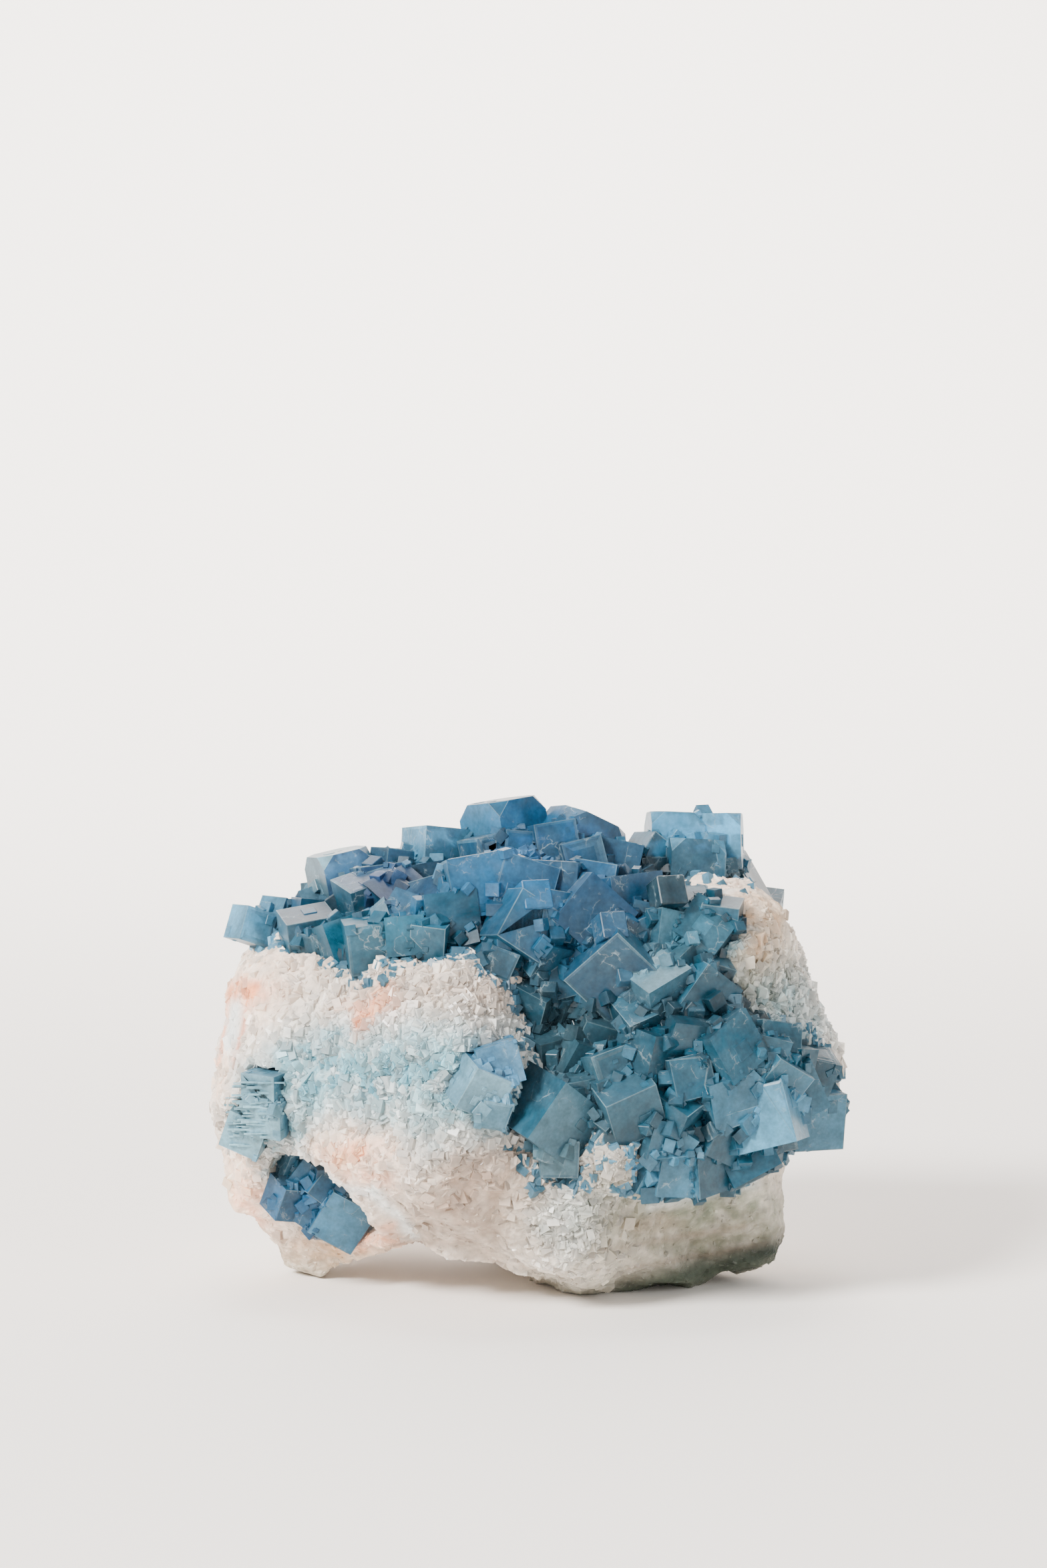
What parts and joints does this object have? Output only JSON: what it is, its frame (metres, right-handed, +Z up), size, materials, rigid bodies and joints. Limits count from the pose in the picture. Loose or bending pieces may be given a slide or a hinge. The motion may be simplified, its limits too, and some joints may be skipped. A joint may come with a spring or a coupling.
{
  "type": "fluorite specimen",
  "caption": "Free-standing mineral specimen: intergrown blue cubic fluorite crystals over a pale granular rock matrix with an arched underside.",
  "frame": {"origin": "on the surface the specimen stands on, under the middle of its bounding box", "axes": "+X to the right along the long side as the show face is looked at, +Y from the show face to the back, +Z up"},
  "size_m": [0.1096, 0.0812, 0.083],
  "materials": {
    "cream_matrix": "rough granular, unpolished",
    "blue_fluorite": "translucent, lightly frosted crystal faces",
    "pale_blue_fluorite": "translucent, lightly frosted crystal faces"
  },
  "bodies": {
    "root": {"matrix": "cream_matrix", "blue_crystals": "blue_fluorite", "pocket_crystals": "blue_fluorite", "perched_crystals": "pale_blue_fluorite", "band_crystals": "pale_blue_fluorite"}
  },
  "joints": []
}
